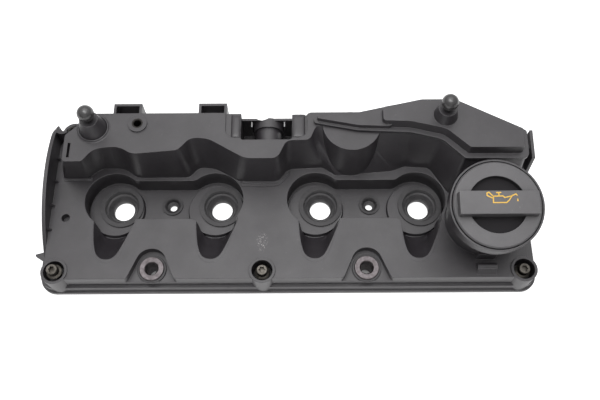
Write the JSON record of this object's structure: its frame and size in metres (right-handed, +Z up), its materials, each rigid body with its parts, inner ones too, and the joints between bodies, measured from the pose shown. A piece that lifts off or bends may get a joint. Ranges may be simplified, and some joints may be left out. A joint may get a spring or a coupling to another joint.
{
  "type": "engine valve cover",
  "caption": "Moulded cover for the top of a four-cylinder engine, with injector wells, an oil filler with a bayonet cap, a breather outlet, ball studs and captive bolts.",
  "frame": {"origin": "axis of the first injector's bore where it meets the gasket plane, at the end away from the oil filler", "axes": "+Z up, away from the engine; +X along the injector row towards the oil filler; +Y to the back, where the upper deck and the breather outlet are"},
  "size_m": [0.431, 0.156, 0.1117],
  "materials": {
    "moulded_plastic": "black glass-filled polyamide with a fine eroded grain, slightly satin",
    "cap_plastic": "black plastic with a fine turned grain",
    "black_rubber": "matt black moulded rubber",
    "zinc_steel": "zinc-plated steel with light storage dulling",
    "bolt_steel": "grey zinc-flake coated steel",
    "stud_plastic": "dark satin plastic-coated ball",
    "spring_steel": "bare spring steel"
  },
  "bodies": {
    "cover": {"cover_body": "moulded_plastic", "separator_hood": "moulded_plastic", "separator_baffle": "moulded_plastic", "valve_housing": "moulded_plastic", "valve_diaphragm": "black_rubber", "valve_spring": "spring_steel", "perimeter_gasket": "black_rubber", "ball_stud_left": "stud_plastic", "ball_stud_right": "stud_plastic", "threaded_insert": "zinc_steel", "breather_clip": "spring_steel", "injector_seal_1": "black_rubber", "injector_seal_2": "black_rubber", "injector_seal_3": "black_rubber", "injector_seal_4": "black_rubber", "clamp_bolt_seal_1": "black_rubber", "clamp_bolt_seal_2": "black_rubber", "bolt_sleeve_front_left": "zinc_steel", "bolt_sleeve_front_middle": "zinc_steel", "bolt_sleeve_front_right": "zinc_steel", "bolt_sleeve_back_left": "zinc_steel", "bolt_sleeve_back_middle": "zinc_steel", "bolt_sleeve_back_right": "zinc_steel", "bolt_bush_front_left": "black_rubber", "bolt_bush_front_middle": "black_rubber", "bolt_bush_front_right": "black_rubber", "bolt_bush_back_left": "black_rubber", "bolt_bush_back_middle": "black_rubber", "bolt_bush_back_right": "black_rubber", "flanged_sleeve_left": "zinc_steel", "flanged_sleeve_right": "zinc_steel", "sleeve_bush_left": "black_rubber", "sleeve_bush_right": "black_rubber"},
    "filler_cap": {"filler_cap": "cap_plastic", "filler_cap_seal": "black_rubber"},
    "valve_plate": {"valve_plate": "moulded_plastic"},
    "captive_bolt_front_left": {"captive_bolt_front_left": "bolt_steel"},
    "captive_bolt_front_middle": {"captive_bolt_front_middle": "bolt_steel"},
    "captive_bolt_front_right": {"captive_bolt_front_right": "bolt_steel"},
    "captive_bolt_back_left": {"captive_bolt_back_left": "bolt_steel"},
    "captive_bolt_back_middle": {"captive_bolt_back_middle": "bolt_steel"},
    "captive_bolt_back_right": {"captive_bolt_back_right": "bolt_steel"}
  },
  "joints": [
    {"name": "filler_cap_turn", "type": "hinge", "parent": "cover", "child": "filler_cap", "pos_m": [0.3125, -0.03, 0.085], "axis": [0, -0.1564, 0.9877], "range_deg": [0, 90]},
    {"name": "valve_plate_slide", "type": "slide", "parent": "cover", "child": "valve_plate", "axis": [0, 0, -1], "range_m": [0, 0.0025], "stiffness_N_per_m": 60, "deforming": ["valve_spring", "valve_diaphragm"]},
    {"name": "bolt_slide_front_left", "type": "slide", "parent": "cover", "child": "captive_bolt_front_left", "axis": [0, 0, 1], "range_m": [-0.0135, 0]},
    {"name": "bolt_slide_front_middle", "type": "slide", "parent": "cover", "child": "captive_bolt_front_middle", "axis": [0, 0, 1], "range_m": [-0.009, 0.0045]},
    {"name": "bolt_slide_front_right", "type": "slide", "parent": "cover", "child": "captive_bolt_front_right", "axis": [0, 0, 1], "range_m": [-0.009, 0.0045]},
    {"name": "bolt_slide_back_left", "type": "slide", "parent": "cover", "child": "captive_bolt_back_left", "axis": [0, 0, 1], "range_m": [-0.009, 0.0045]},
    {"name": "bolt_slide_back_middle", "type": "slide", "parent": "cover", "child": "captive_bolt_back_middle", "axis": [0, 0, 1], "range_m": [-0.009, 0.0045]},
    {"name": "bolt_slide_back_right", "type": "slide", "parent": "cover", "child": "captive_bolt_back_right", "axis": [0, 0, 1], "range_m": [-0.009, 0.0045]}
  ]
}
